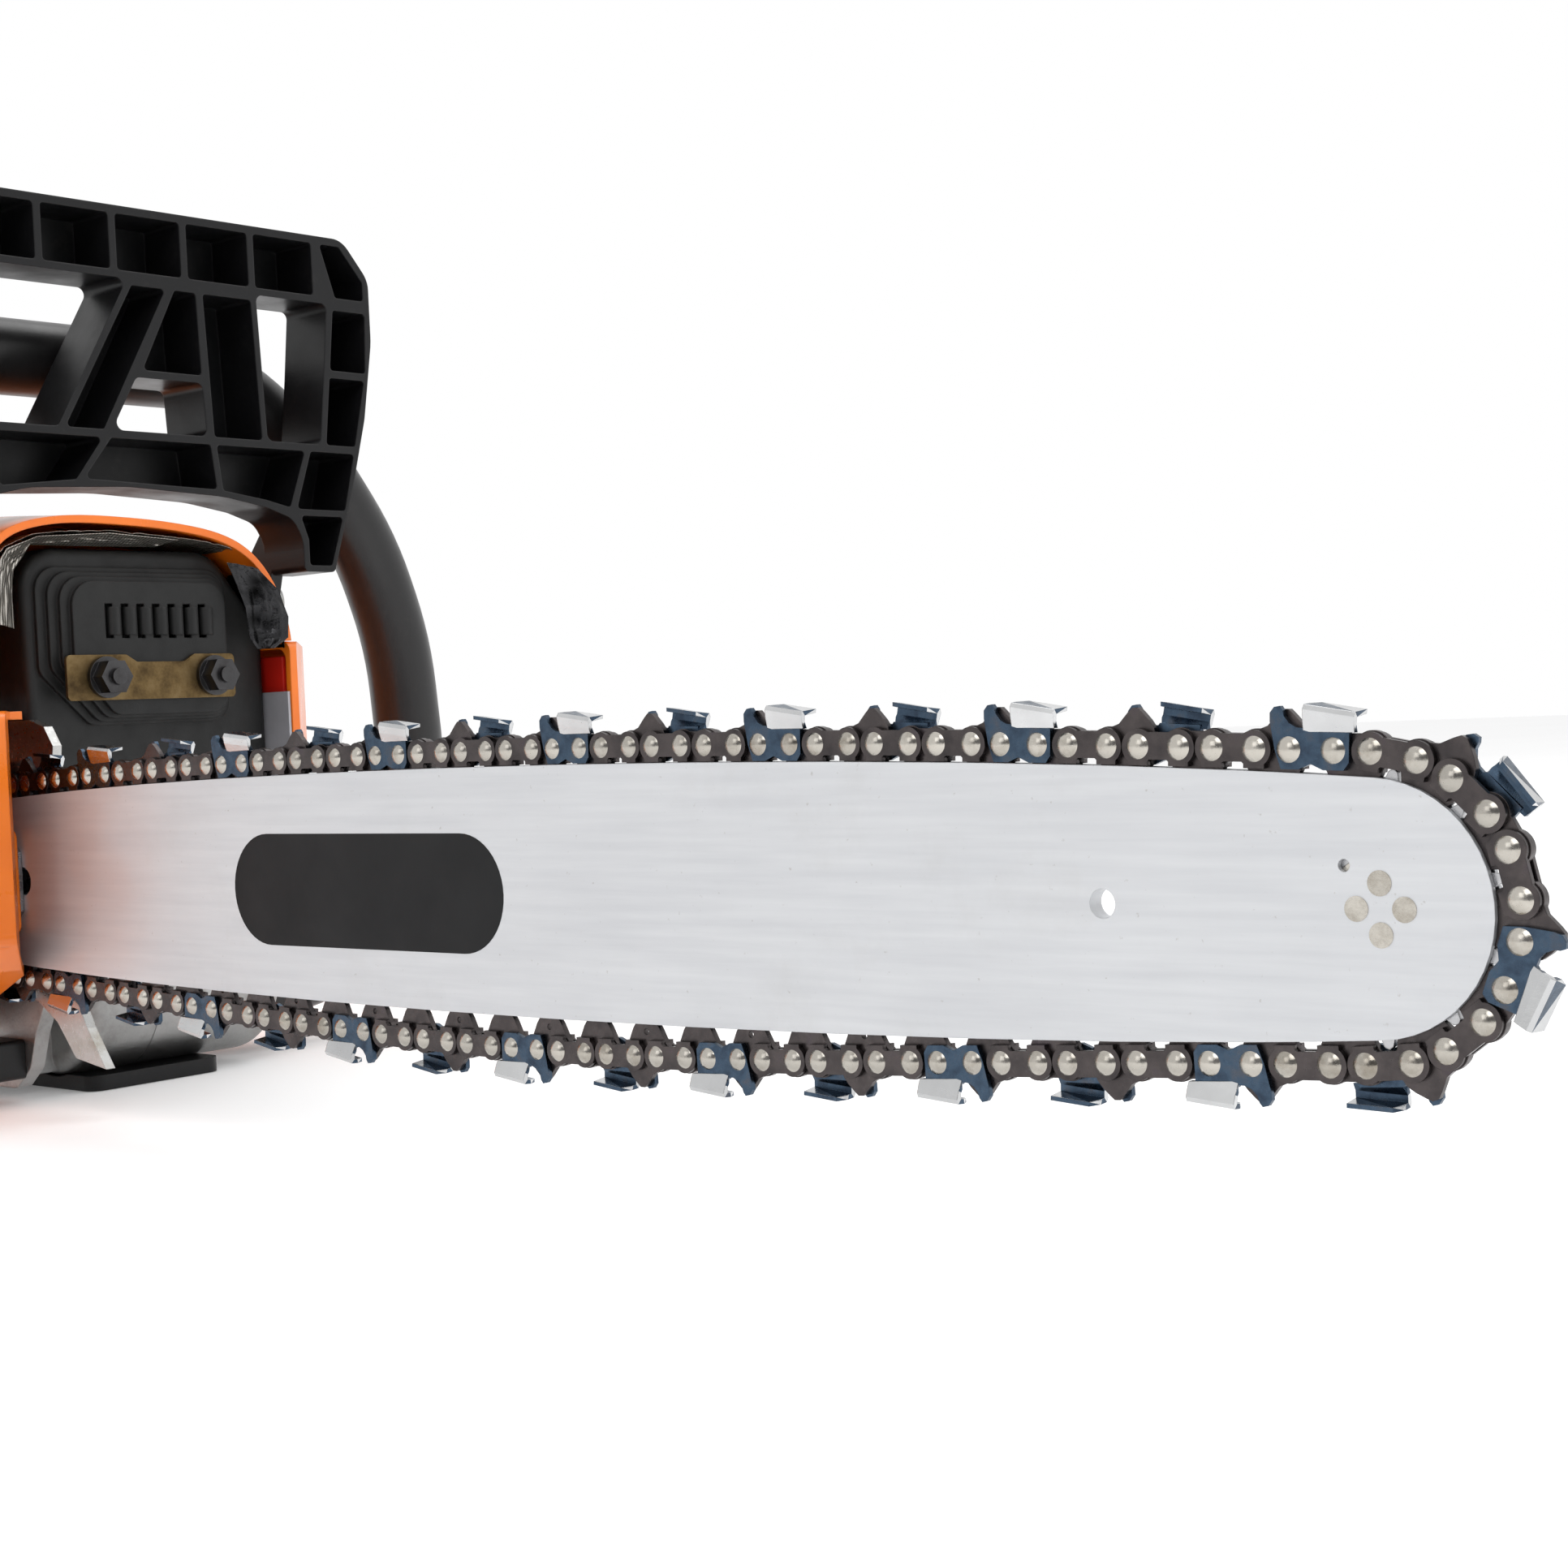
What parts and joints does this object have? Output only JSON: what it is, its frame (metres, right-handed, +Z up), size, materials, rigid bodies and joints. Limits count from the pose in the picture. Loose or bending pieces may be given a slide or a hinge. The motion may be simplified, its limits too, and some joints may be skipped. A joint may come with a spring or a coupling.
{
  "type": "chainsaw",
  "caption": "Petrol chainsaw with a long guide bar and saw chain, orange covers, tube front handle, ribbed hand guard, bumper spike and exposed front muffler.",
  "frame": {"origin": "on the ground under the crankshaft axis, in the cylinder mid plane", "axes": "+X forward along the guide bar, +Y to the operator's left (starter side), +Z up"},
  "size_m": [0.9311, 0.2724, 0.285],
  "materials": {
    "red_plastic": "satin",
    "filter_material": "matte felt and mesh",
    "rubber": "matte",
    "spring_steel": "satin",
    "zinc_steel": "zinc plated",
    "black_plastic": "fine grained",
    "dark_steel": "blackened",
    "cast_alloy": "as cast",
    "rivet_steel": "polished",
    "orange_plastic": "glossy",
    "machined_steel": "machined",
    "cutter_steel": "chromed",
    "link_steel": "dark bronze-grey, oiled",
    "foil": "crumpled foil",
    "satin_black": "satin coat",
    "bar_steel": "satin",
    "grey_plate": "satin",
    "muffler_black": "matt heat resistant",
    "brass_plate": "satin",
    "cord": "braided"
  },
  "bodies": {
    "saw": {"air_baffle": "red_plastic", "air_filter": "filter_material", "av_mounts": "rubber", "bar_guide_plates": "spring_steel", "bar_studs_and_nuts": "zinc_steel", "base_skid": "black_plastic", "brake_band": "spring_steel", "bumper_spike": "zinc_steel", "carburettor": "cast_alloy", "chain_catcher": "black_plastic", "chain_rivets": "rivet_steel", "clutch_cover": "orange_plastic", "clutch_drum_sprocket": "machined_steel", "connecting_rod": "machined_steel", "crank_bearings": "machined_steel", "crankcase_clutch_half": "cast_alloy", "crankcase_starter_half": "cast_alloy", "cutters": "cutter_steel", "cylinder": "cast_alloy", "drive_links": "link_steel", "filter_cover": "orange_plastic", "foil_heat_shield": "foil", "front_handle": "satin_black", "guard_brackets": "black_plastic", "guide_bar": "bar_steel", "heat_plate": "grey_plate", "ignition_coil": "black_plastic", "ignition_lead": "rubber", "intake_boot": "rubber", "muffler_body": "muffler_black", "muffler_cover": "muffler_black", "muffler_plate": "brass_plate", "muffler_studs_and_nuts": "dark_steel", "nose_rivets": "rivet_steel", "nose_sprocket": "machined_steel", "oil_pump": "cast_alloy", "piston": "cast_alloy", "pivot_pins": "zinc_steel", "rear_handle_tank": "black_plastic", "recoil_spring": "spring_steel", "socket_screws": "zinc_steel", "spark_plug": "zinc_steel", "starter_housing": "orange_plastic", "tie_straps": "link_steel", "top_cover": "orange_plastic"},
    "crank": {"crankshaft": "machined_steel", "flywheel": "cast_alloy", "clutch_hub": "machined_steel", "clutch_shoes": "machined_steel"},
    "starter_handle": {"starter_grip": "black_plastic", "starter_rope": "cord"},
    "rope_pulley": {"starter_pulley": "black_plastic"},
    "guard": {"hand_guard": "black_plastic"},
    "trigger": {"throttle_trigger": "black_plastic"},
    "lockout": {"throttle_lockout": "black_plastic"},
    "switch": {"stop_switch": "red_plastic"},
    "choke": {"choke_knob": "black_plastic"},
    "cover_latch": {"filter_cover_knob": "black_plastic"},
    "fuel_filler_cap": {"fuel_cap": "black_plastic"},
    "oil_filler_cap": {"oil_cap": "black_plastic"}
  },
  "joints": [
    {"name": "crank_spin", "type": "hinge", "parent": "saw", "child": "crank", "pos_m": [0, 0, 0.072], "axis": [0, 1, 0], "continuous": true},
    {"name": "starter_pull", "type": "slide", "parent": "saw", "child": "starter_handle", "axis": [0, 0, 1], "range_m": [0, 0.09], "stiffness_N_per_m": 40, "springref_m": -0.1},
    {"name": "pulley_turn", "type": "hinge", "parent": "saw", "child": "rope_pulley", "pos_m": [0, 0.068, 0.072], "axis": [0, 1, 0], "range_deg": [-190, 2]},
    {"name": "chain_brake", "type": "hinge", "parent": "saw", "child": "guard", "pos_m": [0.07, 0, 0.16], "axis": [0, 1, 0], "range_deg": [0, 15]},
    {"name": "throttle", "type": "hinge", "parent": "saw", "child": "trigger", "pos_m": [-0.2, 0, 0.128], "axis": [0, 1, 0], "range_deg": [0, 16], "stiffness_Nm_per_rad": 0.5, "springref_deg": -17.19},
    {"name": "throttle_lock", "type": "hinge", "parent": "saw", "child": "lockout", "pos_m": [-0.206, 0, 0.139], "axis": [0, 1, 0], "range_deg": [-7, 0], "stiffness_Nm_per_rad": 0.5, "springref_deg": 17.19},
    {"name": "stop", "type": "hinge", "parent": "saw", "child": "switch", "pos_m": [-0.158, 0.016, 0.118], "axis": [0, 1, 0], "range_deg": [0, 20]},
    {"name": "choke_pull", "type": "slide", "parent": "saw", "child": "choke", "axis": [-1, 0, 0], "range_m": [0, 0.012]},
    {"name": "filter_cover_turn", "type": "hinge", "parent": "saw", "child": "cover_latch", "pos_m": [-0.13, 0.006, 0.152], "axis": [1, 0, 0], "range_deg": [0, 90]},
    {"name": "fuel_cap_turn", "type": "hinge", "parent": "saw", "child": "fuel_filler_cap", "pos_m": [-0.112, 0.066, 0.038], "axis": [0, 1, 0], "range_deg": [0, 120]},
    {"name": "oil_cap_turn", "type": "hinge", "parent": "saw", "child": "oil_filler_cap", "pos_m": [0.066, 0.057, 0.041], "axis": [0, 1, 0], "range_deg": [0, 120]}
  ],
  "couplings": [
    {"joint": "pulley_turn", "follows": "starter_pull", "rad_per_m": -35.971}
  ]
}
